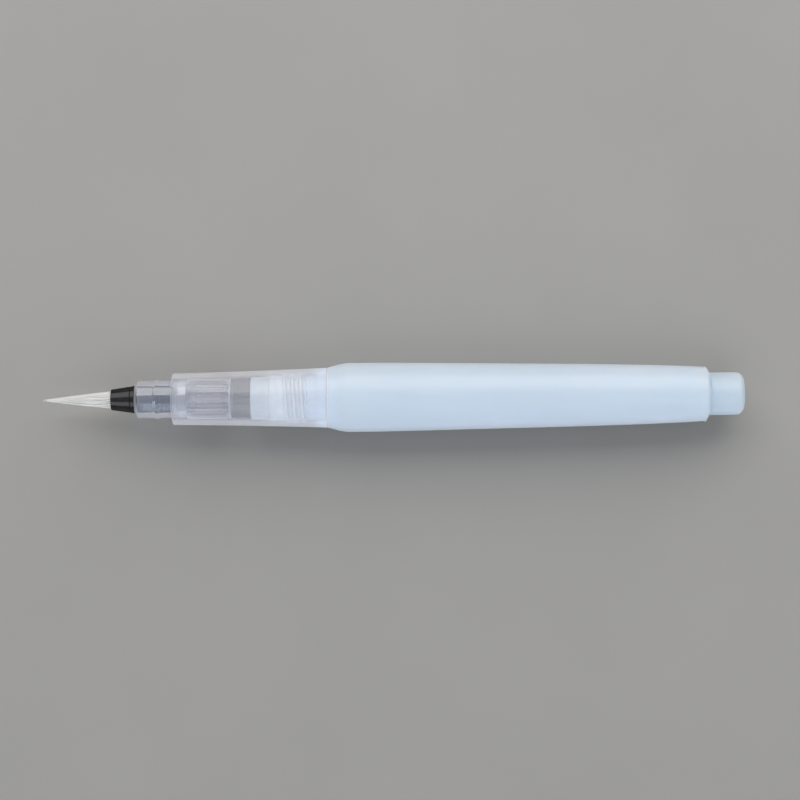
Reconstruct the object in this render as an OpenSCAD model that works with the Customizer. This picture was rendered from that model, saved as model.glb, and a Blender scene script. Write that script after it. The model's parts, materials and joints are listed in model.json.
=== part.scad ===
// Refillable water brush pen: squeezable reservoir barrel, screw-on grip section,
// clear nozzle, black ferrule and pointed bristle tuft.
// Millimetres. The pen lies along X with its brush tip at -X, and rests on Z = 0.

/* [Brush] */
// Free length of the bristles, from the ferrule's mouth to the point
tuft_len = 14.8; // [10:0.1:20]
// Diameter of the bristle bundle where it leaves the ferrule
tuft_d = 3.7; // [3.2:0.1:3.8]
// Visible length of the ferrule
ferrule_len = 5.1; // [4.8:0.1:6]
// Diameter of the ferrule at its mouth
ferrule_d_front = 4.4; // [4.3:0.1:4.6]
// Diameter of the ferrule where it meets the nozzle
ferrule_d_rear = 5.9; // [5.7:0.1:6]

/* [Nozzle] */
// Diameter of the nozzle's straight land
nozzle_d = 8; // [7.8:0.1:8.2]
// Length of the nozzle that shows in front of the grip section
nozzle_len = 8; // [7.4:0.1:10]
// Height of the ring that a cap snaps over
snap_h = 0.2; // [0.1:0.05:0.3]

/* [Grip section] */
// Length of the grip section
grip_len = 33.1; // [32.5:0.1:36]
// Diameter of the grip section at the front
grip_d_front = 11; // [10.8:0.1:11.6]
// Diameter of the grip section where it meets the barrel
grip_d_rear = 12.8; // [12.6:0.1:13.2]

/* [Barrel] */
// Length of the barrel from the grip section to its rear shoulder
barrel_len = 80.9; // [60:0.1:100]
// Largest diameter of the barrel
barrel_d = 14.76; // [14.4:0.02:16]
// Diameter of the barrel at its rear shoulder
tail_d = 11.6; // [11:0.1:12.4]
// Wall thickness of the barrel
wall = 0.9; // [0.7:0.05:1]

/* [Cap post] */
// Diameter of the post at the rear, where the cap is parked
post_d = 9.1; // [8.6:0.1:9.4]
// Length of the post, shoulder included
post_len = 8.1; // [7:0.1:10]

/* [Screw thread] */
// Axial advance of the thread in one turn
thread_pitch = 1.7; // [1.5:0.05:1.8]
// Number of turns of the thread
thread_turns = 3; // [2:0.5:3]

/* [Hidden] */

$fn = 96;

// Radial gap left between pieces that are pressed or slid together
fit = 0.03;

// Stations along the pen, measured from the brush tip
s_ferrule = tuft_len;
s_nozzle = s_ferrule + ferrule_len;
s_grip = s_nozzle + nozzle_len;
s_seam = s_grip + grip_len;
s_rim = s_seam + barrel_len;
s_end = s_rim + post_len;
overall = s_end;
axis_h = barrel_d / 2;

// Grip section, inside
s_cavity = s_grip + 3.1;    // back of the front wall
cavity_r = 4.4;             // chamber behind the nozzle's sleeve
s_neck = s_seam - 16.3;     // mouth of the barrel's neck
neck_land_r = 4.6;          // smooth front of the neck
bead_r = 4.9;               // sealing bead
s_bead = s_seam - 12.4;
bead_len = 1.5;
s_thread = s_seam - 9.65;   // centre line of the male thread's first turn
root_r = 4.75;              // male root
crest_r = 5.35;             // male crest
f_crest_r = 4.98;           // female crest
f_root_r = 5.5;             // female root
collar_r = 5.5;             // guide collar behind the thread
collar_len = 2.1;
bore_r = 3.85;              // bore of the neck

// Nozzle and what it holds
sleeve_r = 4.3;
sleeve_bore_r = 3.1;
sleeve_end = s_grip + 12.15;
channel_r = 1.9;
spigot_r = 2.25;
spigot_len = 2.65;
root_disc_len = 0.85;
core_front = s_nozzle + 3.85;
core_head = s_cavity + 1.6;
flutes = 24;                // grooves round the core's head

// Lays a shape drawn along Z, from the tip, along +X at the pen's height
module lay() {
    translate([-overall / 2, 0, axis_h]) rotate([0, 90, 0]) children();
}

// Turned shape from a list of [station, radius]
module turned(p) {
    rotate_extrude() polygon([for (q = p) [q[1], q[0]]]);
}

// n + 1 points of a round corner, from angle a to angle b about [station, radius] c
function corner(c, rad, a, b, n = 6) =
    [for (i = [0:n]) [c[0] + rad * cos(a + (b - a) * i / n), c[1] + rad * sin(a + (b - a) * i / n)]];

// Smooth step that fades a thread in and out at its ends
function fade(t, total, w = 0.12) =
    let (e = min(t, total - t) / w) e >= 1 ? 1 : max(0, e) * max(0, e) * (3 - 2 * max(0, e));

// One ridge of a right-hand thread about Z. inner and outer edges are
// radius and width pairs, the tip of the ridge being the pair named tip.
module ridge(base_r, base_w, tip_r, tip_w, z0, pitch, turns, steps = 32) {
    n = round(turns * steps);
    low = base_r + (tip_r - base_r) * 0.36;
    pts = [for (i = [0:n]) let (
            t = i / steps, a = 360 * t, z = z0 + pitch * t,
            f = fade(t, turns), r = low + (tip_r - low) * f, w = tip_w * (0.6 + 0.4 * f))
        each [
            [base_r * cos(a), base_r * sin(a), z - base_w / 2],
            [r * cos(a), r * sin(a), z - w / 2],
            [r * cos(a), r * sin(a), z + w / 2],
            [base_r * cos(a), base_r * sin(a), z + base_w / 2]]];
    turn = tip_r < base_r;
    side = [for (i = [0:n - 1], k = [0:3]) let (
            a = 4 * i + k, b = 4 * i + (k + 1) % 4, c = a + 4, d = b + 4)
        each (turn ? [[a, c, b], [b, c, d]] : [[a, b, c], [b, d, c]])];
    ends = turn ? [[0, 1, 2, 3], [4 * n + 3, 4 * n + 2, 4 * n + 1, 4 * n]]
                : [[3, 2, 1, 0], [4 * n, 4 * n + 1, 4 * n + 2, 4 * n + 3]];
    polyhedron(points = pts, faces = concat(side, ends), convexity = 6);
}

// Outer radius of the barrel at a station behind the seam
shoulder_len = 2.4;
blend_len = 2.5;
s_full = s_seam + 11;
function barrel_r(s) =
    let (r0 = grip_d_rear / 2, r2 = barrel_d / 2, r1 = r0 + (r2 - r0) * 0.64, d = s - s_seam)
    d < shoulder_len ? r0 + (r1 - r0) * d / shoulder_len
    : d < shoulder_len + blend_len ? let (e = 1 - (d - shoulder_len) / blend_len) r2 - (r2 - r1) * e * e
    : s < s_full ? r2
    : let (t = (s - s_full) / (s_rim - s_full)) r2 - (r2 - tail_d / 2) * (0.7 * t + 0.3 * pow(t, 6));

barrel_stations = concat(
    [s_seam, s_seam + shoulder_len],
    [for (i = [1:5]) s_seam + shoulder_len + blend_len * i / 5],
    [for (i = [0:14]) s_full + (s_rim - s_full) * i / 14]);

// Outer radius of the grip section
function grip_r(s) =
    let (t = (s - s_grip) / grip_len) grip_d_front / 2 + (grip_d_rear - grip_d_front) / 2 * (0.6 * t + 0.4 * t * t);

// Soft polyethylene bottle: threaded neck, squeezable body and rear post, one moulding
module barrel() {
    post_r = post_d / 2;
    outer = concat(
        [[s_neck + 0.35, bore_r], [s_neck, bore_r + 0.35], [s_neck, neck_land_r - 0.35], [s_neck + 0.35, neck_land_r],
         [s_bead, neck_land_r], [s_bead + 0.3, bead_r], [s_bead + bead_len - 0.3, bead_r], [s_bead + bead_len, root_r],
         [s_seam - collar_len - 0.4, root_r], [s_seam - collar_len, collar_r], [s_seam, collar_r]],
        [for (s = barrel_stations) [s, barrel_r(s)]],
        [[s_rim + 0.7, post_r + 0.1], [s_rim + 0.8, post_r]],
        corner([s_end - 1.6, post_r - 1.5], 1.5, 90, 20, 6),
        [[s_end, 0]]);
    inner = concat(
        [[s_end - wall - 0.1, 0]],
        corner([s_end - 1.6, post_r - 1.5], 1.5 - wall, 20, 90, 3),
        [[s_rim + 0.1, post_r - wall]],
        [for (i = [len(barrel_stations) - 2:-2:3]) [barrel_stations[i], barrel_r(barrel_stations[i]) - wall]],
        [[s_seam + 0.8, bore_r + 0.25], [s_seam - 0.4, bore_r]]);
    color([0.76, 0.83, 0.89]) union() {
        turned(concat(outer, inner));
        ridge(root_r - 0.3, 1.15, crest_r, 0.4, s_thread, thread_pitch, thread_turns);
    }
}

// Frosted shell that screws on to the barrel's neck and carries the nozzle
module grip_section() {
    stations = [for (i = [0:10]) s_grip + 0.75 + (grip_len - 0.75 - 0.1) * i / 10];
    color([0.75, 0.74, 0.78]) union() {
        turned(concat(
            [[s_grip, nozzle_d / 2 + fit], [s_grip, grip_r(s_grip) - 0.75]],
            [for (i = [1:4]) [s_grip + 0.75 * (1 - cos(90 * i / 4)), grip_r(s_grip) - 0.75 + 0.75 * sin(90 * i / 4)]],
            [for (i = [1:10]) [stations[i], grip_r(stations[i])]],
            [[s_seam - fit, grip_r(s_seam - 0.1) - 0.1], [s_seam - fit, collar_r + 0.2],
             [s_seam - 0.2, collar_r + 0.05], [s_seam - collar_len - 0.6, collar_r + 0.05],
             [s_seam - collar_len - 0.7, f_root_r], [s_bead + bead_len + 0.85, f_root_r],
             [s_bead + bead_len + 0.25, bead_r + fit], [s_bead - 0.3, bead_r + fit], [s_bead - 0.6, neck_land_r + 0.06],
             [s_neck - 0.15, neck_land_r + 0.06], [s_neck - 0.35, cavity_r],
             [s_cavity, cavity_r], [s_cavity, nozzle_d / 2 + fit]]));
        ridge(f_root_r + 0.2, 1.09, f_crest_r, 0.4, s_thread + thread_pitch / 2, thread_pitch, thread_turns);
    }
}

// Clear nozzle: spigot for the ferrule, land with a snap ring for the cap, and a sleeve behind
module nozzle() {
    r = nozzle_d / 2;
    ring = s_nozzle + 4.7;
    color([0.72, 0.74, 0.79]) turned(concat(
        [[s_nozzle - spigot_len, spigot_r - 0.75], [s_nozzle - spigot_len, spigot_r - 0.2], [s_nozzle - spigot_len + 0.2, spigot_r],
         [s_nozzle, spigot_r], [s_nozzle, r - 0.95], [s_nozzle + 0.65, r]],
        [[ring - 0.8, r]], [for (i = [1:3]) [ring - 0.8 + 1.6 * i / 4, r + snap_h * sin(180 * i / 4)]], [[ring + 0.8, r]],
        [[s_cavity + fit, r], [s_cavity + fit, sleeve_r], [sleeve_end - 0.15, sleeve_r], [sleeve_end, sleeve_r - 0.15],
         [sleeve_end, sleeve_bore_r + 0.1], [sleeve_end - 0.1, sleeve_bore_r], [core_head, sleeve_bore_r],
         [core_head - 0.7, channel_r], [s_nozzle + 0.4, channel_r], [s_nozzle - 0.1, spigot_r - 0.75]]));
}

// Black ferrule: a cone pressed over the nozzle's spigot, which traps the tuft's root
module ferrule() {
    r1 = ferrule_d_front / 2;
    r2 = ferrule_d_rear / 2;
    step = s_nozzle - 0.95;
    function cone(s) = r1 + (r2 - r1) * (s - s_ferrule) / ferrule_len;
    seat = s_nozzle - spigot_len - root_disc_len;
    color([0.06, 0.06, 0.07]) turned([
        [s_ferrule, tuft_d / 2 + 0.12], [s_ferrule, r1 - 0.08], [s_ferrule + 0.08, r1],
        [step - 0.1, cone(step) - 0.06], [step, cone(step) - 0.12], [step + 0.1, cone(step + 0.1)],
        [s_nozzle - fit - 0.08, r2], [s_nozzle - fit, r2 - 0.08],
        [s_nozzle - fit, spigot_r + fit], [seat, spigot_r + fit], [seat, tuft_d / 2 + fit],
        [s_ferrule + 0.2, tuft_d / 2 + fit]]);
}

// The bundle's inner ends, melted together into a flanged disc
module tuft_root() {
    seat = s_nozzle - spigot_len - root_disc_len + fit;
    color([0.9, 0.89, 0.85]) turned([
        [seat, 0.6], [seat, spigot_r], [seat + root_disc_len - 2 * fit, spigot_r], [seat + root_disc_len - 2 * fit, 0.6]]);
}

// Free bristles, as the outer shape of the bundle
module bristle_tuft() {
    r = tuft_d / 2;
    seat = s_nozzle - spigot_len - root_disc_len;
    color([0.8, 0.8, 0.78]) turned(concat(
        [[0, 0], [0.1, 0.08]],
        [for (i = [1:9]) let (t = i / 9) [0.1 + (s_ferrule - 0.1) * t, 0.08 + (r - 0.08) * (1.1 * t - 0.1 * t * t)]],
        [[seat, r], [seat, 0.6], [s_ferrule - 1.7, 0.6], [s_ferrule - 1.9, 0]]));
}

// Fine tube that takes water through the root into the heart of the bristles
module supply_tube() {
    color([0.85, 0.86, 0.88]) turned([
        [s_ferrule - 1.5, 0.3], [s_ferrule - 1.5, 0.57], [s_nozzle - 1.2, 0.57], [s_nozzle - 1.2, 0.9],
        [s_nozzle - 0.8, 0.9], [s_nozzle - 0.8, 0.3]]);
}

// Fluted core that meters the water: a hollow snout in the channel and a ribbed head in the sleeve
module regulator_core() {
    head_r = sleeve_bore_r - 0.05;
    rear = sleeve_end - 1.05;
    color([0.8, 0.81, 0.84]) difference() {
        turned([[core_front, 1.15], [core_front, channel_r - 0.15], [core_front + 0.12, channel_r - 0.05],
                [core_head - 0.68, channel_r - 0.05], [core_head + 0.1, head_r - 0.45], [core_head + 0.4, head_r],
                [rear, head_r], [rear, 1.15]]);
        for (a = [0:360 / flutes:359]) rotate([0, 0, a]) translate([head_r - 0.65, -0.18, core_head - 1]) cube([2, 0.36, rear - core_head + 2]);
    }
}

// Plug with a pinhole that closes the sleeve and keeps the water from rushing out
module flow_plug() {
    color([0.84, 0.85, 0.88]) turned([
        [sleeve_end - 0.95, 0.4], [sleeve_end - 0.95, sleeve_bore_r - 0.2], [sleeve_end - 0.8, sleeve_bore_r - fit],
        [sleeve_end + fit, sleeve_bore_r - fit], [sleeve_end + fit, cavity_r - 0.1], [sleeve_end + 0.45, cavity_r - 0.1],
        [sleeve_end + 0.45, 0.4]]);
}

lay() barrel();
lay() grip_section();
lay() nozzle();
lay() ferrule();
lay() tuft_root();
lay() bristle_tuft();
lay() supply_tube();
lay() regulator_core();
lay() flow_plug();
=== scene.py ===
import json
import math

import bpy
import bmesh
import numpy as np
from mathutils import Euler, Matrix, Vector

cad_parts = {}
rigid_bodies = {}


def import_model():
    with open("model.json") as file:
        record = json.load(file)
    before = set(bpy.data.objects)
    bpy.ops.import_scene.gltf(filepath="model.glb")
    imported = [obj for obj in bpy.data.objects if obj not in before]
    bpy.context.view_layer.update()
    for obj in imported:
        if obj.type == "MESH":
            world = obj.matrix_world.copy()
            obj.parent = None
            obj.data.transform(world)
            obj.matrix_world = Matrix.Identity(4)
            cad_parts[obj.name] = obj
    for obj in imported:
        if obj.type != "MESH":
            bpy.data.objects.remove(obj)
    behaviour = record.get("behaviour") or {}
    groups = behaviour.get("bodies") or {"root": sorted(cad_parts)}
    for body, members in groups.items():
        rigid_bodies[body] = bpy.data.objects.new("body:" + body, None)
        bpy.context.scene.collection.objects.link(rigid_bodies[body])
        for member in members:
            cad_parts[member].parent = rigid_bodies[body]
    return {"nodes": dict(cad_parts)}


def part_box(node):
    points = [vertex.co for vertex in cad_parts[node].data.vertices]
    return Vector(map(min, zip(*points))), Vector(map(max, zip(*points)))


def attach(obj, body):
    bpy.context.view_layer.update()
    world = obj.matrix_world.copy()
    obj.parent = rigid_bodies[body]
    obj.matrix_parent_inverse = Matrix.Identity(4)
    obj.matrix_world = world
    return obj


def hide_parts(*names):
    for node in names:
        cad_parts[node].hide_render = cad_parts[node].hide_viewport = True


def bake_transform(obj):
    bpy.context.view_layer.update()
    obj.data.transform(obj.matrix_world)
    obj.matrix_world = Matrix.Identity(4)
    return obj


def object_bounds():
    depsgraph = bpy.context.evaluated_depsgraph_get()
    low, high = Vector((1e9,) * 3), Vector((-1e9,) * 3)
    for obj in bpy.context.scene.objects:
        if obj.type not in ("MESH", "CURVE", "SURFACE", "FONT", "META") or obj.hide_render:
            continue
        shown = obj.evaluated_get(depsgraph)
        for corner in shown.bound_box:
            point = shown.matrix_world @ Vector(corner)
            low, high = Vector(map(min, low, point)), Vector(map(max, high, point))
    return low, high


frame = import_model()
CAD_LO, CAD_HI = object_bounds()

# ---------------------------------------------------------------------------
# The pen's own measures. Stations run along the pen from the brush tip, in
# millimetres, and come from the CAD boxes.
# ---------------------------------------------------------------------------
MM = 0.001
X0 = CAD_LO.x
AXIS = (CAD_LO.z + CAD_HI.z) / 2


def station(x):
    return (x - X0) / MM


FIT = 0.03
S_FERRULE = station(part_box("ferrule")[0].x)
S_NOZZLE = station(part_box("ferrule")[1].x) + FIT
S_GRIP = station(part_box("grip_section")[0].x)
S_SEAM = station(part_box("grip_section")[1].x) + FIT
S_END = station(CAD_HI.x)
S_NECK = station(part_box("barrel")[0].x)
SLEEVE_END = station(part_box("nozzle")[1].x)
S_RIM = S_END - 8.1
POST_R = 4.55
WALL = 0.9
R_BARREL = (CAD_HI.y - CAD_LO.y) / 2 / MM
R_SEAM = 6.4
R_TAIL = 5.8
GRIP_R0 = 5.5
GRIP_R1 = 6.4
BORE_R = 3.85
LAND_R = 4.6
BEAD_R = 4.9
S_BEAD = S_SEAM - 12.4
S_THREAD = S_SEAM - 9.65
PITCH = 1.7
TURNS = 3
ROOT_R = 4.75
CREST_R = 5.35
F_CREST_R = 4.98
F_ROOT_R = 5.5
COLLAR_R = 5.5
CAVITY_R = 4.4
S_CAVITY = S_GRIP + 3.1


# ---------------------------------------------------------------------------
# Mesh helpers
# ---------------------------------------------------------------------------
def path(points, n=5, ease=0.05):
    """A rounded line through [station, radius, fillet] points, with a support point beside each fillet so that flats stay flat."""
    out = []
    pts = [(p[0], p[1], p[2] if len(p) > 2 else 0.0) for p in points]
    for i, (s, r, f) in enumerate(pts):
        if i in (0, len(pts) - 1) or f <= 0:
            out.append((s, r))
            continue
        here = np.array([s, r])
        a = np.array(pts[i - 1][:2]) - here
        b = np.array(pts[i + 1][:2]) - here
        la, lb = np.linalg.norm(a), np.linalg.norm(b)
        a, b = a / la, b / lb
        half = math.acos(max(-1.0, min(1.0, float(a @ b)))) / 2
        t = f / math.tan(half)
        t = min(t, la * 0.48, lb * 0.48)
        f = t * math.tan(half)
        centre = here + (a + b) / np.linalg.norm(a + b) * (f / math.sin(half))
        v0, v1 = here + a * t - centre, here + b * t - centre
        a0, a1 = math.atan2(v0[1], v0[0]), math.atan2(v1[1], v1[0])
        d = (a1 - a0 + math.pi) % (2 * math.pi) - math.pi
        if t + ease < la * 0.5:
            out.append(tuple(here + a * (t + ease)))
        for k in range(n + 1):
            g = a0 + d * k / n
            out.append((centre[0] + f * math.cos(g), centre[1] + f * math.sin(g)))
        if t + ease < lb * 0.5:
            out.append(tuple(here + b * (t + ease)))
    keep = [out[0]]
    for p in out[1:]:
        if math.hypot(p[0] - keep[-1][0], p[1] - keep[-1][1]) > 1e-4:
            keep.append(p)
    return keep


def even_angles(n):
    return np.arange(n) * 360.0 / n


def with_lines(n, centres, offsets):
    """Even angles, with a close group of extra ones at each centre."""
    base = [a for a in even_angles(n) if all(abs((a - c + 180) % 360 - 180) > max(offsets) * 1.15 for c in centres)]
    extra = [(c + o * g) % 360 for c in centres for o in offsets for g in (-1, 1)] + [c % 360 for c in centres]
    return np.array(sorted(set(round(a, 5) for a in base + extra)))


def to_mesh(name, verts, faces):
    me = bpy.data.meshes.new(name)
    me.from_pydata([tuple(v) for v in verts], [], faces)
    me.update()
    bm = bmesh.new()
    bm.from_mesh(me)
    bmesh.ops.recalc_face_normals(bm, faces=bm.faces)
    if bm.calc_volume(signed=True) < 0:
        bmesh.ops.reverse_faces(bm, faces=bm.faces)
    bm.to_mesh(me)
    bm.free()
    ob = bpy.data.objects.new(name, me)
    bpy.context.scene.collection.objects.link(ob)
    return ob


def skin(name, rings, ang, loop=False, poles=(None, None)):
    """A turned solid. rings is a list of (station, radius), where each may be a number or one value for each angle.
    Angle 0 is straight down, 90 is +Y, 180 is up. poles are the stations of the closed ends, or None."""
    a = np.radians(ang)
    n = len(ang)
    rows = []
    for s, r in rings:
        s = np.broadcast_to(np.asarray(s, float), (n,))
        r = np.broadcast_to(np.asarray(r, float), (n,))
        rows.append(np.stack([X0 + s * MM, r * np.sin(a) * MM, AXIS - r * np.cos(a) * MM], 1))
    verts = np.concatenate(rows)
    faces = []
    m = len(rows)
    for i in range(m if loop else m - 1):
        k = (i + 1) % m
        for j in range(n):
            l = (j + 1) % n
            faces.append((i * n + j, i * n + l, k * n + l, k * n + j))
    extra = []
    for which, s in enumerate(poles):
        if s is None:
            continue
        at = len(verts) + len(extra)
        extra.append([X0 + s * MM, 0.0, AXIS])
        row = 0 if which == 0 else (m - 1) * n
        for j in range(n):
            faces.append((row + j, row + (j + 1) % n, at))
    if extra:
        verts = np.concatenate([verts, np.array(extra)])
    return to_mesh(name, verts, faces)


def smooth(ob, angle=30):
    ob.data.shade_smooth()
    ob.data.set_sharp_from_angle(angle=math.radians(angle))
    return ob


def dress(ob, body, node, slot, *mats, angle=30):
    smooth(ob, angle)
    for m in mats:
        ob.data.materials.append(m)
    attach(ob, body)
    if node:
        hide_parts(node)
    return ob


# ---------------------------------------------------------------------------
# Node helpers
# ---------------------------------------------------------------------------
class Nodes:
    """A small way to write a material's nodes."""

    def __init__(self, name):
        self.m = bpy.data.materials.new(name)
        self.m.use_nodes = True
        self.t = self.m.node_tree
        self.t.nodes.clear()
        self.out = self.t.nodes.new("ShaderNodeOutputMaterial")
        self._mm = None

    def add(self, kind, **settings):
        n = self.t.nodes.new(kind)
        for k, v in settings.items():
            setattr(n, k, v)
        return n

    def put(self, node, **values):
        for k, v in values.items():
            k = k.replace("_", " ")
            sock = node.inputs[k]
            if isinstance(v, bpy.types.NodeSocket):
                self.t.links.new(v, sock)
            else:
                sock.default_value = v
        return node

    def link(self, a, b):
        self.t.links.new(a, b)

    def mm(self, scale=(1, 1, 1)):
        """Object coordinates in millimetres, stretched."""
        if self._mm is None:
            self._mm = self.add("ShaderNodeTexCoord").outputs["Object"]
        mp = self.add("ShaderNodeMapping")
        self.link(self._mm, mp.inputs["Vector"])
        mp.inputs["Scale"].default_value = [1000 * s for s in scale]
        return mp.outputs[0]

    def noise(self, scale, detail=3.0, stretch=(1, 1, 1), rough=0.55):
        n = self.add("ShaderNodeTexNoise")
        self.link(self.mm(stretch), n.inputs["Vector"])
        n.inputs["Scale"].default_value = scale
        n.inputs["Detail"].default_value = detail
        n.inputs["Roughness"].default_value = rough
        return n.outputs["Fac"]

    def ramp(self, value, lo, hi, a, b):
        n = self.add("ShaderNodeMapRange")
        self.link(value, n.inputs["Value"])
        for k, v in (("From Min", lo), ("From Max", hi), ("To Min", a), ("To Max", b)):
            n.inputs[k].default_value = v
        return n.outputs["Result"]

    def smooth(self, value, lo, hi, a, b):
        n = self.add("ShaderNodeMapRange", interpolation_type="SMOOTHSTEP")
        self.link(value, n.inputs["Value"])
        for k, v in (("From Min", lo), ("From Max", hi), ("To Min", a), ("To Max", b)):
            n.inputs[k].default_value = v
        return n.outputs["Result"]

    def along(self):
        """Station along the pen, in millimetres from the tip."""
        sep = self.add("ShaderNodeSeparateXYZ")
        self.link(self.mm(), sep.inputs[0])
        return self.math("SUBTRACT", sep.outputs[0], X0 / MM)

    def math(self, op, a, b=None):
        n = self.add("ShaderNodeMath", operation=op)
        for i, v in enumerate((a, b)):
            if v is None:
                continue
            if isinstance(v, bpy.types.NodeSocket):
                self.link(v, n.inputs[i])
            else:
                n.inputs[i].default_value = v
        return n.outputs[0]

    def mix(self, fac, a, b):
        n = self.add("ShaderNodeMix", data_type="RGBA")
        for key, v in ((0, fac), (6, a), (7, b)):
            if isinstance(v, bpy.types.NodeSocket):
                self.link(v, n.inputs[key])
            else:
                n.inputs[key].default_value = v if key == 0 else (*v, 1.0)
        return n.outputs[2]

    def bump(self, height, strength, distance_mm):
        n = self.add("ShaderNodeBump")
        n.inputs["Strength"].default_value = strength
        n.inputs["Distance"].default_value = distance_mm * MM
        self.link(height, n.inputs["Height"])
        return n.outputs["Normal"]

    def facing(self):
        n = self.add("ShaderNodeLayerWeight")
        n.inputs["Blend"].default_value = 0.5
        return n.outputs["Facing"]

    def blend_shaders(self, fac, a, b):
        n = self.add("ShaderNodeMixShader")
        if isinstance(fac, bpy.types.NodeSocket):
            self.link(fac, n.inputs[0])
        else:
            n.inputs[0].default_value = fac
        self.link(a, n.inputs[1])
        self.link(b, n.inputs[2])
        return n.outputs[0]

    def done(self, shader):
        self.link(shader, self.out.inputs["Surface"])
        return self.m


def lin(r, g, b):
    """sRGB 0-255 to the linear numbers that a shader takes."""
    return tuple((c / 255 / 12.92) if c / 255 <= 0.04045 else ((c / 255 + 0.055) / 1.055) ** 2.4 for c in (r, g, b))


# ---------------------------------------------------------------------------
# Materials
# ---------------------------------------------------------------------------
def make_barrel_material(name, scale, dark, pale, ends=None, near_seam=None):
    """Soft pale-blue polyethylene: light scatters inside the wall, with a satin moulded skin. Colour bands along the
    pen
    can be mixed into it: the paler bands by the seam are painted light, and the post is a little deeper."""
    n = Nodes(name)
    cloud = n.noise(0.07, 3.0, (0.6, 1, 1))
    flow = n.noise(0.5, 4.0, (0.12, 1, 1))
    a = n.mix(n.ramp(cloud, 0.35, 0.65, 0, 1), lin(*dark), lin(*[0.6 * d + 0.4 * p for d, p in zip(dark, pale)]))
    col = n.mix(n.math("MULTIPLY", n.ramp(flow, 0.4, 0.7, 0, 1), 0.25), a, lin(*pale))
    if ends:
        at = n.along()
        for s0, s1, w0, w1, colour in ends:
            # each band's colour goes straight into the base colour; the paler bands by the seam are painted light
            # against the shade there
            col = n.mix(n.smooth(at, s0, s1, w0, w1), col, lin(*colour))
    grain = n.noise(5.0, 3.0)
    draw = n.noise(1.3, 4.0, (0.05, 1, 1))
    h = n.math("ADD", n.math("MULTIPLY", grain, 0.6), n.math("MULTIPLY", draw, 0.4))
    p = n.add("ShaderNodeBsdfPrincipled", subsurface_method="RANDOM_WALK")
    n.put(p, Base_Color=col, Roughness=n.ramp(n.noise(0.9, 3.0), 0.3, 0.7, 0.32, 0.42),
          IOR=1.5, Subsurface_Weight=1.0, Subsurface_Scale=scale, Normal=n.bump(h, 0.2, 0.010))
    if near_seam:  # light travels less far in the thick shoulder
        n.put(p, Subsurface_Scale=n.smooth(n.along(), S_SEAM, near_seam[0], near_seam[1], scale))
    p.inputs["Subsurface Radius"].default_value = (0.85, 0.92, 1.0)
    p.inputs["Subsurface Anisotropy"].default_value = 0.0
    p.inputs["Specular IOR Level"].default_value = 0.68
    p.inputs["Sheen Weight"].default_value = 0.5
    p.inputs["Sheen Roughness"].default_value = 0.35
    return n.done(p.outputs[0])


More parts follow.
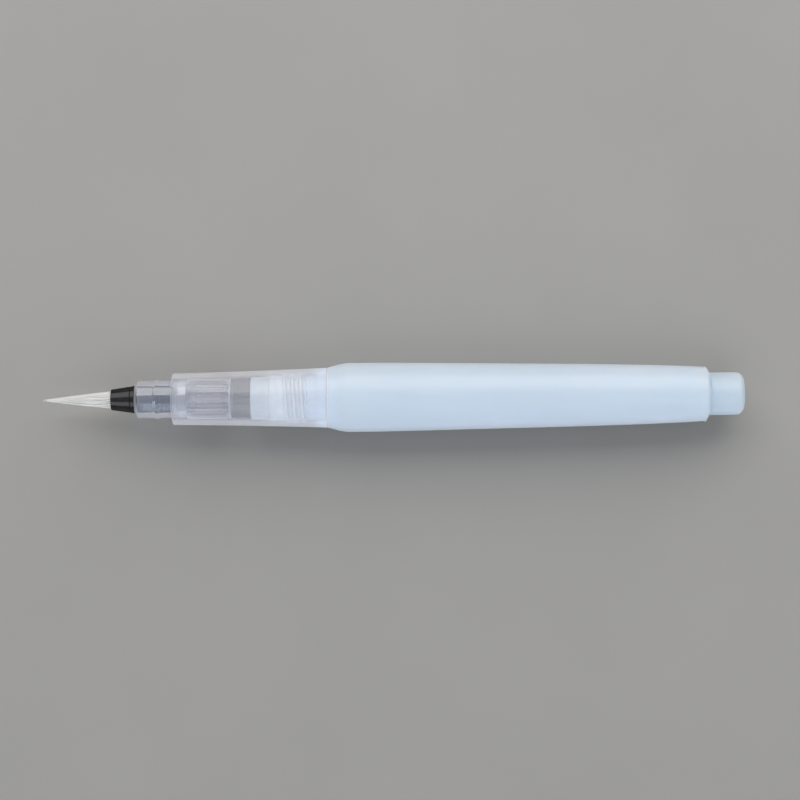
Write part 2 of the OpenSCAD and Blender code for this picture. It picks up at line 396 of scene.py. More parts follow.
def make_hazy(name, haze, limb, facing_at, body_a, body_b, rough, gloss_rough, tint=(0.95, 0.955, 0.965), shine=0.045,
              rear=None, edge_mirror=0.6, mottle=0.02, soft=0.04, edge=0.25, fade_in=None, fade_out=None, fade_to=None, streak=None, rim=None, inner=None):
    """Milky see-through plastic. Clear light passes straight on, a little tinted; haze lies over it, thicker where the
    line of sight runs along the wall, and the moulded skin has a soft gloss."""
    n = Nodes(name)
    col = n.mix(n.ramp(n.noise(0.35, 3.0, (0.3, 1, 1)), 0.35, 0.65, 0, 1), body_a, body_b)
    height = n.math("ADD", n.math("MULTIPLY", n.noise(4.0, 3.0), 0.5),
                    n.math("MULTIPLY", n.noise(1.6, 4.0, (0.05, 1, 1)), 0.5))
    normal = n.bump(height, 0.2, 0.008)
    if rear:
        back = n.smooth(n.along(), rear[0], rear[1], 0.0, 1.0)
        col = n.mix(back, col, rear[3])
    if rim:
        end = n.smooth(n.along(), rim[0], rim[1], 0.0, 1.0)
        col = n.mix(end, col, rim[3])
    window = None
    for span, a, b in ((fade_in, 0.0, 1.0), (fade_out, 1.0, 0.0)):
        if span:
            f = n.smooth(n.along(), span[0], span[1], a, b)
            window = f if window is None else n.math("MULTIPLY", window, f)
    body = n.add("ShaderNodeBsdfPrincipled")
    n.put(body, Base_Color=col, Roughness=n.ramp(n.noise(1.1, 3.0), 0.3, 0.7, rough - 0.05, rough + 0.05), Normal=normal)
    body.inputs["IOR"].default_value = 1.49
    body.inputs["Specular IOR Level"].default_value = 0.2
    through = n.add("ShaderNodeBsdfTransparent")
    through.inputs["Color"].default_value = (*tint, 1)
    facing = n.facing()
    wall = n.smooth(facing, facing_at - soft, facing_at + soft, 0.0, 1.0)
    cloud = n.ramp(n.noise(0.8, 4.0, (0.25, 1, 1)), 0.3, 0.7, -mottle, mottle)
    thick = n.math("MULTIPLY", wall, limb)
    if inner:  # (from, to) in facing: a surface inside the plastic has no rim of its own
        thick = n.math("MULTIPLY", thick, n.smooth(facing, inner[0], inner[1], 1.0, 0.0))
    if window is not None:
        thick = n.math("MULTIPLY", thick, window)
    fac = n.math("ADD", n.math("ADD", thick, haze), n.math("MULTIPLY", n.math("POWER", facing, 4.0), edge))
    if fade_to is not None:  # the haze itself thins out too, down to this part of itself
        fac = n.math("MULTIPLY", fac, n.ramp(window, 0.0, 1.0, fade_to, 1.0))
    if streak:
        drawn = n.ramp(n.noise(streak[0], 2.0, (0.015, 1, 1)), 0.40, 0.60, -streak[1], streak[1])
        if len(streak) > 2:  # only as far as this station
            drawn = n.math("MULTIPLY", drawn, n.smooth(n.along(), streak[2] - 0.3, streak[2], 1.0, 0.0))
        fac = n.math("ADD", fac, drawn)
    if rim:
        fac = n.math("ADD", fac, n.math("MULTIPLY", end, rim[2]))
    if rear:
        fac = n.math("ADD", fac, n.math("MULTIPLY", n.math("MULTIPLY", back, rear[2]), n.math("SUBTRACT", 1.0, wall)))
    fac = n.math("MINIMUM", n.math("MAXIMUM", n.math("ADD", fac, cloud), 0.0), 0.97)
    inner = n.blend_shaders(fac, through.outputs[0], body.outputs[0])
    gloss = n.add("ShaderNodeBsdfGlossy")
    gloss.inputs["Color"].default_value = (1, 1, 1, 1)
    n.put(gloss, Roughness=gloss_rough, Normal=normal)
    mirror = n.math("ADD", n.math("MULTIPLY", n.math("POWER", facing, 5.0), edge_mirror), shine)
    if window is not None:
        mirror = n.math("MULTIPLY", mirror, window)
    return n.done(n.blend_shaders(mirror, inner, gloss.outputs[0]))


def make_black_material():
    """Black moulded plastic with a soft gloss and faint turning marks."""
    n = Nodes("plastic_black_gloss")
    height = n.math("ADD", n.math("MULTIPLY", n.noise(4.0, 3.0), 0.5), n.math("MULTIPLY", n.noise(2.5, 3.0, (1, 0.1, 0.1)), 0.5))
    normal = n.bump(height, 0.2, 0.006)
    body = n.add("ShaderNodeBsdfPrincipled")
    n.put(body, Base_Color=n.mix(n.ramp(n.noise(0.9, 3.0), 0.35, 0.65, 0, 1), (0.006, 0.006, 0.007), (0.012, 0.012, 0.013)),
          Roughness=n.ramp(n.noise(1.4, 3.0), 0.3, 0.7, 0.4, 0.5), Normal=normal)
    body.inputs["IOR"].default_value = 1.5
    body.inputs["Specular IOR Level"].default_value = 0.0
    gloss = n.add("ShaderNodeBsdfGlossy")
    gloss.inputs["Color"].default_value = (1, 1, 1, 1)
    n.put(gloss, Roughness=n.ramp(n.noise(1.4, 3.0), 0.3, 0.7, 0.13, 0.19), Normal=normal)
    mirror = n.math("ADD", n.math("MULTIPLY", n.math("POWER", n.facing(), 4.0), 0.08), 0.031)
    return n.done(n.blend_shaders(mirror, body.outputs[0], gloss.outputs[0]))


def make_bristle_material():
    """Off-white nylon filaments; each has its own tone, and they pale towards their fine ends."""
    n = Nodes("nylon_filament")
    tone = n.add("ShaderNodeAttribute", attribute_name="tone").outputs["Fac"]
    shade = n.math("ADD", tone, n.ramp(n.noise(1.4, 3.0, (0.15, 1, 1)), 0.3, 0.7, 0.0, 0.25))
    col = n.mix(shade, lin(183, 182, 179), lin(223, 222, 219))
    p = n.add("ShaderNodeBsdfPrincipled", subsurface_method="RANDOM_WALK")
    n.put(p, Base_Color=col, Roughness=n.ramp(n.noise(2.0, 3.0, (0.2, 1, 1)), 0.3, 0.7, 0.36, 0.48))
    p.inputs["IOR"].default_value = 1.53
    p.inputs["Subsurface Weight"].default_value = 0.15
    p.inputs["Subsurface Scale"].default_value = 0.0004
    p.inputs["Subsurface Radius"].default_value = (1.0, 0.95, 0.9)
    p.inputs["Sheen Weight"].default_value = 0.15
    p.inputs["Sheen Roughness"].default_value = 0.4
    return n.done(p.outputs[0])


def make_floor_material():
    n = Nodes("floor_pale")
    col = n.mix(n.ramp(n.noise(0.02, 4.0), 0.35, 0.65, 0, 1), lin(167, 166, 164), lin(170, 169, 167))
    p = n.add("ShaderNodeBsdfPrincipled")
    n.put(p, Base_Color=col, Roughness=0.75, Normal=n.bump(n.noise(1.5, 4.0), 0.15, 0.03))
    p.inputs["Specular IOR Level"].default_value = 0.25
    return n.done(p.outputs[0])


# The barrel's first two colour bands are painted light: the shoulder by the seam and the seam's edge are painted paler
# to stand in for light that the shade there takes away. The third band makes the post a little deeper.
POLY = make_barrel_material("polyethylene_pale_blue", 0.014, (182, 195, 208), (191, 202, 213),
                            near_seam=(S_SEAM + 5.0, 0.003),
                            ends=((S_SEAM + 0.1, S_SEAM + 4.0, 1.0, 0.0, (196, 209, 226)), (S_SEAM + 0.06, S_SEAM + 0.45, 1.0, 0.0, (232, 238, 246)), (S_RIM - 0.6, S_RIM + 0.8, 0.0, 0.8, (172, 186, 199))))
NECK = make_barrel_material("polyethylene_neck", 0.0006, (214, 219, 222), (221, 224, 227),
                            ends=((S_NECK + 2.5, S_THREAD, 0.0, 0.95, (238, 241, 244)), (S_THREAD + 4.1, S_THREAD + 5.1, 0.0, 1.0, (226, 234, 244))))
# Painted highlight: the neck's thread ridge is painted paler than the neck, to stand in for the light that its crests
# catch.
NECK_RIDGE_PAINTED_HIGHLIGHT = make_barrel_material("polyethylene_thread_painted_highlight", 0.00015, (232, 235, 238), (238, 240, 243),
                                  ends=((S_NECK, S_NECK + 1.0, 0.0, 0.0, (238, 241, 244)), (S_SEAM, S_SEAM + 0.1, 0.0, 0.0, (224, 233, 243))))
WHITE = lin(219, 222, 229)
SKIN_TINT = (0.93, 0.953, 0.985)
FROST = make_hazy("polypropylene_frosted", 0.13, 0.40, 0.37, lin(205, 204, 210), lin(213, 212, 217), 0.5, 0.30,
                  tint=SKIN_TINT, shine=0.03, edge_mirror=0.4, soft=0.12, rear=(S_NECK - 0.4, S_NECK + 5.0, 0.12, WHITE),
                  rim=(S_SEAM - 4.6, S_SEAM - 0.4, 0.22, lin(216, 226, 240)))
FROST_IN = make_hazy("polypropylene_frosted_inside", 0.05, 0.0, 0.9, lin(206, 206, 212), lin(214, 214, 219), 0.5, 0.22,
                     tint=(0.955, 0.965, 0.98), shine=0.012, edge_mirror=0.0, edge=0.1, rear=(S_NECK - 0.4, S_NECK + 5.0, 0.08, WHITE), streak=(1.3, 0.07, S_NECK + 0.2))
RIDGE = make_hazy("polypropylene_frosted_thread", 0.14, 0.1, 0.9, lin(238, 241, 246), lin(244, 246, 250), 0.35, 0.18,
                  tint=(0.985, 0.988, 0.995), shine=0.05, edge_mirror=0.05)
SEAT = make_hazy("polypropylene_frosted_seat", 0.55, 0.1, 0.9, lin(240, 243, 247), lin(246, 248, 251), 0.35, 0.18,
                 tint=(0.985, 0.988, 0.995), shine=0.05, edge_mirror=0.05)
FRONT = make_hazy("polypropylene_frosted_front", 0.24, 0.40, 0.20, lin(208, 208, 214), lin(216, 216, 221), 0.4, 0.18,
                  tint=(0.95, 0.965, 0.99), shine=0.17, edge_mirror=0.0, soft=0.09, edge=0.0, inner=(0.86, 1.0),
                  fade_in=(S_GRIP + 0.7, S_GRIP + 2.0), fade_out=(S_CAVITY - 0.2, S_CAVITY + 0.35))
FACE = make_hazy("polypropylene_end_face", 0.03, 0.0, 0.9, lin(206, 206, 213), lin(214, 214, 220), 0.5, 0.3,
                 tint=(0.985, 0.988, 0.995), shine=0.0, edge_mirror=0.0, mottle=0.01, edge=0.0)
SLEEVE = make_hazy("polypropylene_sleeve", 0.14, 0.46, 0.31, lin(218, 215, 217), lin(226, 223, 224), 0.4, 0.18, shine=0.012,
                   edge_mirror=0.0, soft=0.06, edge=0.0, streak=(2.2, 0.14), inner=(0.62, 0.95))
SLEEVE_IN = make_hazy("polypropylene_sleeve_inside", 0.06, 0.0, 0.9, lin(203, 202, 210), lin(212, 212, 218), 0.4, 0.16, shine=0.008,
                      edge_mirror=0.0, edge=0.0, streak=(2.6, 0.05))
CORE = make_hazy("regulator_plastic", 0.45, 0.06, 0.5, lin(203, 200, 202), lin(212, 209, 211), 0.45, 0.25, shine=0.02, edge_mirror=0.15, edge=0.12,
                 fade_in=(S_CAVITY + 1.2, S_CAVITY + 2.6), fade_out=(SLEEVE_END - 1.9, SLEEVE_END - 0.9), fade_to=0.62)
SNOUT = make_hazy("regulator_snout", 0.006, 0.0, 0.9, lin(182, 186, 202), lin(192, 195, 210), 0.4, 0.15, tint=(0.97, 0.975, 0.985),
                  shine=0.0, mottle=0.004, edge_mirror=0.0, edge=0.0)
# Painted highlight: a near-white haze stands in for the bright line where light catches the snout's lip; it goes on the
# lower half only.
LIP_PAINTED_HIGHLIGHT = make_hazy("regulator_lip_painted_highlight", 0.9, 0.0, 0.4, lin(222, 226, 238), lin(230, 233, 242), 0.4, 0.2, shine=0.02, edge=0.0)
PLUG = make_hazy("plug_plastic", 0.55, 0.3, 0.4, lin(216, 216, 221), lin(224, 224, 228), 0.4, 0.2)
PLUG_BODY = make_hazy("plug_body_plastic", 0.30, 0.1, 0.5, lin(203, 201, 203), lin(212, 210, 212), 0.45, 0.25, shine=0.01, edge_mirror=0.1,
                      edge=0.1, streak=(1.4, 0.06))
LAND = make_hazy("polypropylene_clear", 0.008, 0.44, 0.29, lin(196, 195, 198), lin(206, 205, 207), 0.35, 0.12,
                 tint=(0.73, 0.78, 0.865), shine=0.12, mottle=0.01)
SPIGOT = make_hazy("polypropylene_spigot", 0.10, 0.40, 0.20, lin(206, 205, 210), lin(214, 213, 217), 0.35, 0.14,
                   tint=(0.92, 0.935, 0.96), shine=0.01, mottle=0.02, edge_mirror=0.0, soft=0.10, edge=0.0, inner=(0.86, 1.0))
LAND_IN = make_hazy("polypropylene_clear_inside", 0.004, 0.0, 0.9, lin(192, 194, 201), lin(202, 204, 210), 0.35, 0.1,
                    tint=(0.985, 0.988, 0.995), shine=0.0, mottle=0.003, edge_mirror=0.0, edge=0.0)
BLACK = make_black_material()
HAIR = make_bristle_material()


# ---------------------------------------------------------------------------
# Barrel: one moulding, open at the neck
# ---------------------------------------------------------------------------
def barrel_r(s):
    d = s - S_SEAM
    r1 = R_SEAM + (R_BARREL - R_SEAM) * 0.64
    s_full = S_SEAM + 11
    if d < 2.4:
        return R_SEAM + (r1 - R_SEAM) * d / 2.4
    if d < 4.9:
        e = 1 - (d - 2.4) / 2.5
        return R_BARREL - (R_BARREL - r1) * e * e
    if s < s_full:
        return R_BARREL
    t = (s - s_full) / (S_RIM - s_full)
    return R_BARREL - (R_BARREL - R_TAIL) * (0.7 * t + 0.3 * t ** 6)


def ridge(name, s0, profile, root_r, steps=72, run=0.14):
    """A thread ridge swept round the axis: profile is (offset along the axis, radius) from one buried foot to the other,
    and it rises from root_r at both ends over a short run."""
    verts, faces = [], []
    n = len(profile)
    total = TURNS * steps
    for i in range(total + 1):
        t = i / steps
        e = min(1.0, min(t, TURNS - t) / run)
        e = e * e * (3 - 2 * e)
        g = 2 * math.pi * t
        for d, r in profile:
            above = (r - root_r) if (r - root_r) * (profile[n // 2][1] - root_r) > 0 else 0.0
            rr = r - above * (1 - e) * 1.02
            s = s0 + PITCH * t + d * (0.55 + 0.45 * e)
            verts.append((X0 + s * MM, rr * math.sin(g) * MM, AXIS - rr * math.cos(g) * MM))
    for i in range(total):
        for j in range(n):
            k = (j + 1) % n
            faces.append((i * n + j, i * n + k, (i + 1) * n + k, (i + 1) * n + j))
    faces.append(tuple(range(n)))
    faces.append(tuple(total * n + j for j in reversed(range(n))))
    return to_mesh(name, verts, faces)


LINES = [90.0, 270.0]  # where the two halves of the mould met


def arc_mm(ang, centre, r):
    return np.abs((ang - centre + 180) % 360 - 180) * math.pi / 180 * r


def parted(s, r, ang, height=0.045, half=0.11):
    """The barrel's skin with its two mould lines, the tops of which are at the CAD radius."""
    g = sum(np.exp(-((arc_mm(ang, c, r) / half) ** 2)) for c in LINES)
    bump = height * g
    spur = 0.0
    if S_RIM - 1.2 < s < S_RIM + 0.6:
        spur = 0.20 * np.exp(-((arc_mm(ang, 270.0, r) / 0.22) ** 2)) * math.exp(-(((s - S_RIM - 0.05) / 0.22) ** 2))
        spur = spur + 0.06 * np.exp(-((arc_mm(ang, 90.0, r) / 0.22) ** 2)) * math.exp(-(((s - S_RIM - 0.05) / 0.22) ** 2))
    return r - height + bump + spur


def build_barrel():
    ang = with_lines(168, LINES, (0.35, 0.7, 1.05, 1.5))
    rings = []
    # rear end, going forward over the outside
    dome = [(S_END - 0.004, 0.35), (S_END - 0.02, 1.1), (S_END - 0.05, 1.9), (S_END - 0.09, 2.6)]
    c = (S_END - 1.6, POST_R - 1.5)
    cornered = [(c[0] + 1.5 * math.cos(g), c[1] + 1.5 * math.sin(g)) for g in np.radians(np.linspace(20, 90, 12))]
    post = dome + [(S_END - 0.14, 3.2)] + cornered + [(S_END - 1.7, POST_R), (S_END - 4.0, POST_R)]
    post += path([(S_END - 4.0, POST_R), (S_RIM + 0.78, POST_R, 0.28), (S_RIM + 0.66, POST_R + 0.2, 0.1), (S_RIM, R_TAIL, 0.14), (S_RIM - 3.0, barrel_r(S_RIM - 3.0))], 6)[1:-1]
    for s, r in post:
        rings.append((s, parted(s, r, ang, 0.03 if r < POST_R + 0.3 else 0.045) if r > 3.3 else r))
    stations = list(np.linspace(S_RIM - 0.6, S_SEAM + 5.2, 64)) + list(np.linspace(S_SEAM + 4.9, S_SEAM + 0.35, 22))
    for s in stations:
        rings.append((s, parted(s, barrel_r(s), ang)))
    # seam edge and the collar that the section slides over
    edge = path([(S_SEAM + 0.35, barrel_r(S_SEAM + 0.35)), (S_SEAM, R_SEAM, 0.04), (S_SEAM, COLLAR_R, 0.06), (S_SEAM - 2.1, COLLAR_R, 0.12),
                 (S_SEAM - 2.45, ROOT_R, 0.12), (S_SEAM - 2.9, ROOT_R)], 4)
    for s, r in edge[1:]:
        rings.append((s, parted(s, r, ang, 0.045) if r > R_SEAM - 0.05 else r))
    rings += [(s, ROOT_R) for s in np.linspace(S_SEAM - 3.2, S_THREAD - 0.7, 8)]
    # bead, land and mouth
    front = path([(S_THREAD - 0.8, ROOT_R), (S_BEAD + 1.5, ROOT_R, 0.05), (S_BEAD + 1.25, BEAD_R, 0.14), (S_BEAD + 0.25, BEAD_R, 0.14), (S_BEAD, LAND_R, 0.08),
                  (S_NECK, LAND_R, 0.3), (S_NECK, BORE_R, 0.25), (S_SEAM + 1.5, BORE_R, 1.2), (S_SEAM + 2.0, 2.4, 0.8)], 6)
    rings += front + [(S_SEAM + 2.1, 1.2)]
    return skin("barrel_shell", rings, ang, poles=(S_END, S_SEAM + 2.15))


barrel = dress(build_barrel(), "barrel", "barrel", "barrel_plastic", POLY, NECK, angle=38)
for poly in barrel.data.polygons:
    poly.material_index = 1 if station(poly.center.x) < S_SEAM - 0.1 else 0
MALE = [(-0.50, ROOT_R - 0.12), (-0.45, ROOT_R), (-0.26, CREST_R - 0.15), (-0.215, CREST_R - 0.06), (-0.14, CREST_R - 0.015), (0.0, CREST_R),
        (0.14, CREST_R - 0.015), (0.215, CREST_R - 0.06), (0.26, CREST_R - 0.15), (0.45, ROOT_R), (0.50, ROOT_R - 0.12)]
# the thread ridge wears the painted-highlight material
neck_thread = dress(ridge("neck_thread", S_THREAD, MALE, ROOT_R), "barrel", None, "barrel_plastic", NECK_RIDGE_PAINTED_HIGHLIGHT, angle=50)


# ---------------------------------------------------------------------------
# Grip section: frosted shell with a female thread
# ---------------------------------------------------------------------------
def grip_r(s):
    t = (s - S_GRIP) / (S_SEAM - S_GRIP)
    return GRIP_R0 + (GRIP_R1 - GRIP_R0) * (0.6 * t + 0.4 * t * t)


def build_grip():
    ang = even_angles(168)
    rings = path([(S_GRIP, 4.6), (S_GRIP, GRIP_R0, 0.72), (S_GRIP + 2.2, grip_r(S_GRIP + 2.2))], 9)
    rings += [(s, grip_r(s)) for s in np.linspace(S_GRIP + 2.4, S_SEAM - 0.5, 26)]
    rings += path([(S_SEAM - 0.4, grip_r(S_SEAM - 0.4)), (S_SEAM - FIT, GRIP_R1 - 0.01, 0.045), (S_SEAM - FIT, COLLAR_R + 0.2, 0.03),
                   (S_SEAM - 0.2, COLLAR_R + 0.05, 0.05), (S_SEAM - 2.7, COLLAR_R + 0.05, 0.03), (S_SEAM - 2.78, F_ROOT_R, 0.02), (S_SEAM - 3.0, F_ROOT_R)], 4)
    rings += [(s, F_ROOT_R) for s in np.linspace(S_SEAM - 3.2, S_BEAD + 2.5, 8)]
    rings += path([(S_BEAD + 2.33, F_ROOT_R), (S_BEAD + 2.3, F_ROOT_R - 0.02, 0.1), (S_BEAD + 1.75, BEAD_R + FIT, 0.1), (S_BEAD - 0.3, BEAD_R + FIT, 0.1),
                   (S_BEAD - 0.6, LAND_R + 0.06, 0.1), (S_NECK - 0.15, LAND_R + 0.06, 0.08), (S_NECK - 0.35, CAVITY_R, 0.06),
                   (S_CAVITY, CAVITY_R, 0.12), (S_CAVITY, 4.03, 0.03), (S_GRIP, 4.03, 0.1), (S_GRIP, 4.55)], 4)
    return skin("grip_shell", rings, ang, loop=True)


grip = dress(build_grip(), "front", "grip_section", "frosted_plastic", FROST, FROST_IN, SEAT, FRONT, FACE, angle=38)
for poly in grip.data.polygons:
    c = poly.center
    at = station(c.x)
    r = math.hypot(c.y, c.z - AXIS) / MM
    outward = poly.normal.dot(Vector((0, c.y, c.z - AXIS))) > 0
    if (r > grip_r(at) - 0.9 and outward) or at < S_GRIP + 0.9:
        kind = 0
    elif r < BEAD_R + 0.1 and (abs(at - S_BEAD - 0.2) < 0.25 or abs(at - S_BEAD - 1.15) < 0.25):
        kind = 2
    elif at > S_SEAM - 0.06:
        kind = 2
    elif abs(at - S_CAVITY) < 0.14 and r > 4.0 and abs(poly.normal.x) > 0.75:
        kind = 4
    elif at < S_CAVITY + 0.05:
        kind = 3
    else:
        kind = 1
    poly.material_index = kind


FEMALE = [(-0.49, F_ROOT_R + 0.04), (-0.46, F_ROOT_R), (-0.24, F_CREST_R + 0.09), (-0.19, F_CREST_R + 0.03), (-0.11, F_CREST_R + 0.005), (0.0, F_CREST_R),
          (0.11, F_CREST_R + 0.005), (0.19, F_CREST_R + 0.03), (0.24, F_CREST_R + 0.09), (0.46, F_ROOT_R), (0.49, F_ROOT_R + 0.04)]
grip_thread = dress(ridge("grip_thread", S_THREAD + PITCH / 2, FEMALE, F_ROOT_R), "front", None, "frosted_plastic", RIDGE, FACE, angle=50)
for poly in grip_thread.data.polygons:
    r = math.hypot(poly.center.y, poly.center.z - AXIS) / MM
    poly.material_index = 1 if r > F_ROOT_R + 0.01 else 0


# ---------------------------------------------------------------------------
# Nozzle
# ---------------------------------------------------------------------------
def build_nozzle():
    ang = even_angles(34 * 12)
    ring = S_NOZZLE + 4.7
    outer = [(S_NOZZLE - 2.65, 1.8), (S_NOZZLE - 2.65, 2.25, 0.15), (S_NOZZLE, 2.25, 0.1), (S_NOZZLE, 3.1, 0.3), (S_NOZZLE + 0.62, 4.0, 0.35), (ring - 0.8, 4.0)]
    rings = path(outer, 6)
    rings += [(ring - 0.8 + 1.6 * i / 10, 4.0 + 0.2 * math.sin(math.pi * i / 10) ** 1.3) for i in range(1, 10)]
    groove = np.cos(np.radians(ang * 34)) ** 8  # shallow lines along the sleeve
    rings += path([(ring + 0.8, 4.0), (S_GRIP + 0.25, 4.0), (S_CAVITY + FIT, 4.0, 0.1), (S_CAVITY + FIT, 4.3, 0.12), (S_CAVITY + 0.35, 4.3)], 5)
    rings += [(s, 4.3 - 0.045 * groove) for s in (S_CAVITY + 0.5, S_CAVITY + 0.8, SLEEVE_END - 0.6, SLEEVE_END - 0.35)]
    rings += path([(SLEEVE_END - 0.25, 4.3), (SLEEVE_END, 4.3, 0.12), (SLEEVE_END, 3.1, 0.1),
                   (S_CAVITY + 1.6, 3.1, 0.2), (S_CAVITY + 0.9, 1.9, 0.2), (S_NOZZLE + 0.4, 1.9, 0.15), (S_NOZZLE - 0.1, 1.5, 0.1), (S_NOZZLE - 2.65, 1.5, 0.1),
                   (S_NOZZLE - 2.65, 1.75)], 5)
    ob = skin("nozzle_body", rings, ang, loop=True)
    return ob


nozzle = dress(build_nozzle(), "front", "nozzle", "clear_plastic", LAND, LAND_IN, SLEEVE, SLEEVE_IN, FACE, SPIGOT, angle=34)
split = X0 + (S_CAVITY + 0.02) * MM
for poly in nozzle.data.polygons:
    c = poly.center
    inside = math.hypot(c.y, c.z - AXIS) < 3.2 * MM and station(c.x) > S_NOZZLE + 0.1
    poly.material_index = (2 if c.x > split else 0) + (1 if inside else 0)
    if abs(station(c.x) - S_CAVITY - 0.06) < 0.14 and abs(poly.normal.x) > 0.75 and not inside:
        poly.material_index = 4
    elif S_GRIP + 0.25 < station(c.x) < S_CAVITY + 0.02 and not inside:
        poly.material_index = 5


# ---------------------------------------------------------------------------
# Ferrule
# ---------------------------------------------------------------------------
def build_ferrule():
    ang = even_angles(144)
    r1, r2 = 2.2, 2.95
    step = S_NOZZLE - 0.95

    def cone(s):
        return r1 + (r2 - r1) * (s - S_FERRULE) / (S_NOZZLE - S_FERRULE)

    seat = S_NOZZLE - 2.65 - 0.85
    rings = path([(S_FERRULE + 0.02, 2.05), (S_FERRULE, cone(S_FERRULE), 0.10), (step - 0.13, cone(step - 0.13), 0.05), (step, cone(step) - 0.13, 0.05),
                  (step + 0.13, cone(step + 0.13), 0.05), (S_NOZZLE - FIT, r2, 0.08), (S_NOZZLE - FIT, 2.28, 0.03), (seat, 2.28, 0.05), (seat, 1.88, 0.03),
                  (S_FERRULE + 0.15, 1.88, 0.08), (S_FERRULE + 0.02, 1.98)], 5)
    return skin("ferrule_shell", rings, ang, loop=True)


ferrule = dress(build_ferrule(), "front", "ferrule", "black_plastic", BLACK, angle=34)


# ---------------------------------------------------------------------------
# Regulator core and plug
# ---------------------------------------------------------------------------
def build_core():
    n = 24
    per = 10
    ang = even_angles(n * per)
    head = 3.05
    rear = SLEEVE_END - 1.05
    c0 = S_CAVITY + 1.6
    phase = (ang % (360 / n)) / (360 / n)
    slot = np.clip((np.abs(phase - 0.5) - 0.22) / 0.08, 0, 1)  # 0 in a groove, 1 on a fin
    slot = slot * slot * (3 - 2 * slot)

    def fins(r, depth):
        return r - 0.55 * depth * (1 - slot)

    front = S_NOZZLE + 3.85
    rings = path([(front, 1.35), (front, 1.85, 0.12), (c0 - 0.68, 1.85, 0.1), (c0 - 0.1, 2.3)], 5)
    rings += [(c0 + 0.02, fins(2.5, 0.2)), (c0 + 0.12, fins(2.62, 0.32)), (c0 + 0.25, fins(2.86, 0.5)), (c0 + 0.36, fins(3.0, 0.62)), (c0 + 0.45, fins(head, 0.7))]
    rings += [(s, fins(head, 0.7)) for s in np.linspace(c0 + 0.8, rear - 0.3, 6)]
    rings += [(rear - 0.08, fins(head, 0.7)), (rear - 0.02, fins(head - 0.03, 0.68)), (rear, fins(head - 0.09, 0.65))]
    rings += path([(rear, 2.2), (rear, 1.15, 0.1), (front, 1.15, 0.1), (front, 1.3)], 4)
    return skin("core_fluted", rings, ang, loop=True)


core = dress(build_core(), "core", "regulator_core", "core_plastic", CORE, SNOUT, LIP_PAINTED_HIGHLIGHT, angle=32)
for poly in core.data.polygons:
    at = station(poly.center.x)
    # painted highlight: only the lower half of the lip gets the bright material
    lip = at < S_NOZZLE + 4.05 and poly.center.y < -0.35 * MM
    poly.material_index = 2 if lip else 1 if at < S_CAVITY + 0.8 else 0


def build_plug():
    ang = even_angles(128)
    rings = path([(SLEEVE_END - 0.95, 0.7), (SLEEVE_END - 0.95, 3.07, 0.12), (SLEEVE_END + FIT, 3.07, 0.04), (SLEEVE_END + FIT, 4.3, 0.08),
                  (SLEEVE_END + 0.45, 4.3, 0.1), (SLEEVE_END + 0.45, 0.4, 0.08), (SLEEVE_END - 0.95, 0.4, 0.08), (SLEEVE_END - 0.95, 0.65)], 4)
    return skin("plug_disc", rings, ang, loop=True)


plug = dress(build_plug(), "front", "flow_plug", "core_plastic", PLUG, PLUG_BODY, FACE, angle=34)
for poly in plug.data.polygons:
    at = station(poly.center.x)
    poly.material_index = 0 if at > SLEEVE_END + 0.02 else 2 if at < SLEEVE_END - 0.9 else 1


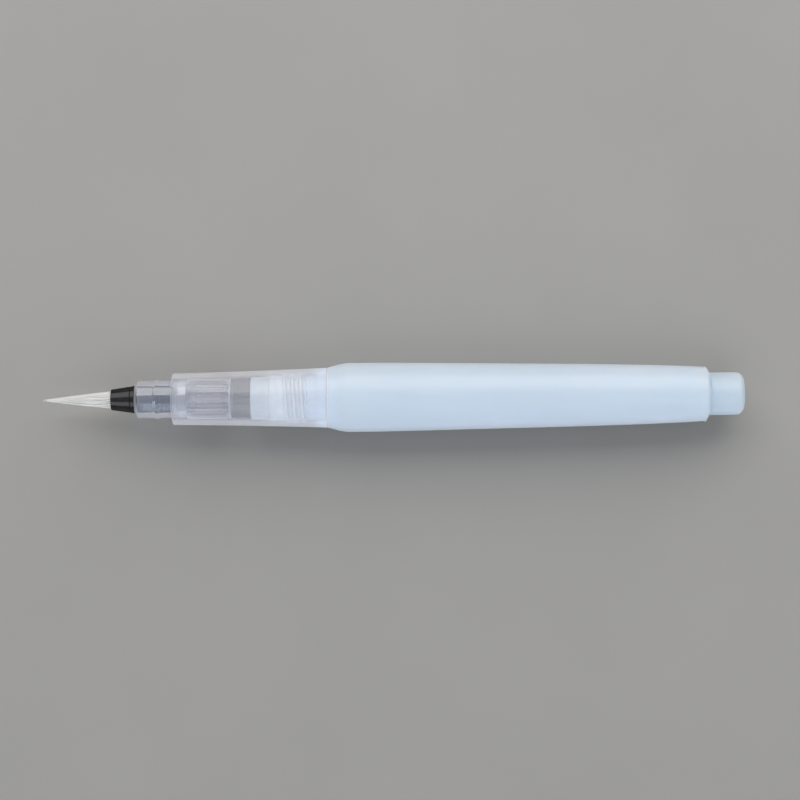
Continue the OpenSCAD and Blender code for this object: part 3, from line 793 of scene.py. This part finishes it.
# ---------------------------------------------------------------------------
# Tuft
# ---------------------------------------------------------------------------
def build_tuft():
    rng = np.random.default_rng(41)
    R = 1.85
    tip = 0.05

    def bundle(s):
        """Radius of the whole bundle at a station."""
        t = np.clip((s - tip) / (S_FERRULE - tip), 0, 1.12)
        return 0.10 + (R - 0.10) * np.minimum(1.14 * t - 0.14 * t * t, 1.0)

    count = 620
    fil_r = 0.078
    i = np.arange(count)
    rho = np.sqrt((i + 0.5) / count) * (R - fil_r)
    phi = i * math.radians(137.50776) + rng.normal(0, 0.05, count)
    outer = rho / (R - fil_r)
    verts, faces, tones = [], [], []
    steps = 15
    sides = 6
    ca, sa = np.cos(np.arange(sides) * 2 * math.pi / sides), np.sin(np.arange(sides) * 2 * math.pi / sides)
    root = S_FERRULE + 1.3
    for k in range(count):
        # a filament's own end: most reach the point, some stop short
        short = abs(rng.normal(0, 1)) * 0.9 * (0.35 + 0.65 * (1 - outer[k])) + rng.random() * 0.2
        if k % 6 == 1:
            short *= 0.1
        end = tip + min(short, 5.0)
        st = root - (root - end) * (np.linspace(0, 1, steps) ** 0.92)
        wob_a, wob_b = rng.normal(0, 0.016, 2)
        tw = rng.normal(0, 0.10)
        stray = 1.0 + (0.035 * rng.random() if outer[k] > 0.9 else 0.0)
        tone = float(np.clip(rng.normal(0.5, 0.13), 0, 1))
        base = len(verts)
        for j, s in enumerate(st):
            b = bundle(s)
            g = (s - end) / (root - end)
            rr = rho[k] * (b / R) * (1 + (stray - 1) * (1 - g))
            p = phi[k] + tw * (1 - g) + wob_a * math.sin(s * 0.9 + k)
            rr = max(0.0, rr + wob_b * math.sin(s * 0.7 + 2 * k) * min(1, g * 3) * 0.6)
            fr = fil_r * min(1.0, 0.16 + 0.84 * b / R) * min(1.0, 0.12 + g * 7.0) * 1.06
            rr = min(rr, max(0.0, b - fr))
            cy, cz = rr * math.cos(p), rr * math.sin(p)
            for q in range(sides):
                verts.append((X0 + s * MM, (cy + fr * ca[q]) * MM, AXIS + (cz + fr * sa[q]) * MM))
                tones.append(tone + 0.16 * (1 - g))
        for j in range(steps - 1):
            for q in range(sides):
                q2 = (q + 1) % sides
                a0, a1 = base + j * sides + q, base + j * sides + q2
                faces.append((a0, a1, a1 + sides, a0 + sides))
        faces.append(tuple(base + q for q in reversed(range(sides))))
        faces.append(tuple(base + (steps - 1) * sides + q for q in range(sides)))
    # the heart of the bundle
    heart = [(0.5, 0.0)] + [(s, bundle(s) * 0.72) for s in np.linspace(0.9, root - 0.1, 12)] + [(root - 0.05, 0.0)]
    rows = []
    for s, r in heart:
        rows.append(len(verts))
        for q in range(24 if r > 0 else 1):
            g = 2 * math.pi * q / 24
            verts.append((X0 + s * MM, r * math.cos(g) * MM, AXIS + r * math.sin(g) * MM))
            tones.append(0.35)
    for q in range(24):
        q2 = (q + 1) % 24
        faces.append((rows[0], rows[1] + q, rows[1] + q2))
        faces.append((rows[-1], rows[-2] + q2, rows[-2] + q))
        for i0, i1 in zip(rows[1:-2], rows[2:-1]):
            faces.append((i0 + q, i1 + q, i1 + q2, i0 + q2))
    me = bpy.data.meshes.new("bristles")
    me.from_pydata(verts, [], faces)
    me.update()
    bm = bmesh.new()
    bm.from_mesh(me)
    bmesh.ops.recalc_face_normals(bm, faces=bm.faces)
    bm.to_mesh(me)
    bm.free()
    at = me.attributes.new("tone", "FLOAT", "POINT")
    at.data.foreach_set("value", np.clip(np.array(tones, np.float32), 0, 1))
    ob = bpy.data.objects.new("bristles", me)
    bpy.context.scene.collection.objects.link(ob)
    return ob


tuft = build_tuft()
smooth(tuft, 60)
tuft.data.materials.append(HAIR)
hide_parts("bristle_tuft")
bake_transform(tuft)

# CAD pieces that stay, hidden in the ferrule
for node, mat in (("tuft_root", HAIR), ("supply_tube", PLUG)):
    ob = frame["nodes"][node]
    ob.data.materials.clear()
    ob.data.materials.append(mat)

# ---------------------------------------------------------------------------
# Floor, light, camera
# ---------------------------------------------------------------------------
me = bpy.data.meshes.new("floor")
me.from_pydata([(-4, -4, -0.00002), (4, -4, -0.00002), (4, 4, -0.00002), (-4, 4, -0.00002)], [], [(0, 1, 2, 3)])
floor = bpy.data.objects.new("floor", me)
bpy.context.scene.collection.objects.link(floor)
floor.data.materials.append(make_floor_material())

world = bpy.data.worlds.new("studio")
bpy.context.scene.world = world
world.use_nodes = True
wt = world.node_tree
bg = wt.nodes["Background"]
bg.inputs["Strength"].default_value = 0.38
sky = wt.nodes.new("ShaderNodeTexCoord")
up = wt.nodes.new("ShaderNodeSeparateXYZ")
wt.links.new(sky.outputs["Generated"], up.inputs[0])
grade = wt.nodes.new("ShaderNodeMapRange")
wt.links.new(up.outputs[2], grade.inputs["Value"])
for key, value in (("From Min", 0.0), ("From Max", 0.9), ("To Min", 0.55), ("To Max", 1.0)):
    grade.inputs[key].default_value = value
shade = wt.nodes.new("ShaderNodeMix")
shade.data_type = "RGBA"
wt.links.new(grade.outputs["Result"], shade.inputs[0])
shade.inputs[6].default_value = (0, 0, 0, 1)
shade.inputs[7].default_value = (0.92, 0.95, 1.0, 1)
wt.links.new(shade.outputs[2], bg.inputs["Color"])


def softbox(name, direction, distance, size, power, colour=(1, 1, 1)):
    d = Vector(direction).normalized()
    la = bpy.data.lights.new(name, "AREA")
    la.shape = "RECTANGLE"
    la.size, la.size_y = size
    la.energy = power
    la.color = colour
    ob = bpy.data.objects.new(name, la)
    bpy.context.scene.collection.objects.link(ob)
    ob.location = Vector((0, 0, AXIS)) + d * distance
    ob.rotation_mode = "QUATERNION"
    ob.rotation_quaternion = d.to_track_quat("Z", "Y")
    ob.visible_camera = False
    return ob


pen = bpy.data.collections.new("pen_only")
for ob in bpy.context.scene.objects:
    if ob.type == "MESH" and ob is not floor:
        pen.objects.link(ob)

softbox("key", (0.0, math.sin(math.radians(52)), math.cos(math.radians(52))), 0.75, (1.3, 0.75), 6.4, (1.02, 1.0, 0.965))
fill = softbox("fill", (0.0, -math.sin(math.radians(46)), math.cos(math.radians(46))), 0.8, (1.3, 0.7), 1.9)
fill.visible_glossy = False

cam = bpy.data.cameras.new("camera")
cam.lens = 100
cam.sensor_width = 36
PX = (CAD_HI.x - CAD_LO.x) / 701.0  # metres a pixel
distance = PX * 800 / cam.sensor_width * cam.lens
camera = bpy.data.objects.new("camera", cam)
bpy.context.scene.collection.objects.link(camera)
roll = math.radians(-0.586)
off = Vector((7.2 * PX, -3.0 * PX, 0))
off.rotate(Euler((0, 0, roll)))
glow = softbox("glow", (0.0, -math.sin(math.radians(58)), math.cos(math.radians(58))), 0.7, (1.3, 0.7), 4.8, (0.95, 0.985, 1.05))
glow.visible_glossy = False  # diffuse only: it stands for the light that soaks through the milky plastic
glow.light_linking.receiver_collection = pen
front = bpy.data.collections.new("front_only")
for ob in (grip, nozzle, core, plug, tuft):
    front.objects.link(ob)
lift = softbox("lift", (0.0, -math.sin(math.radians(58)), math.cos(math.radians(58))), 0.7, (1.3, 0.7), 1.6, (1.02, 1.0, 0.96))
lift.visible_glossy = False
lift.light_linking.receiver_collection = front
rim = softbox("rim", (0.0, math.sin(math.radians(80)), math.cos(math.radians(80))), 0.8, (1.3, 0.4), 1.5, (1.05, 1.0, 0.95))
rim.visible_glossy = False
rim.light_linking.receiver_collection = pen
black = bpy.data.collections.new("ferrule_only")
black.objects.link(ferrule)
strip = softbox("strip", (0.0, -math.sin(math.radians(43)), math.cos(math.radians(43))), 0.8, (1.3, 0.55), 3.8)
strip.light_linking.receiver_collection = black
camera.location = Vector(((CAD_LO.x + CAD_HI.x) / 2, 0, AXIS + distance)) + off
camera.rotation_euler = (0, 0, roll)
cam.clip_start, cam.clip_end = 0.01, 20
bpy.context.scene.camera = camera

scene = bpy.context.scene
scene.view_settings.view_transform = "Standard"
scene.cycles.use_denoising = True
scene.cycles.transparent_max_bounces = 32
scene.cycles.max_bounces = 14
scene.cycles.transmission_bounces = 14
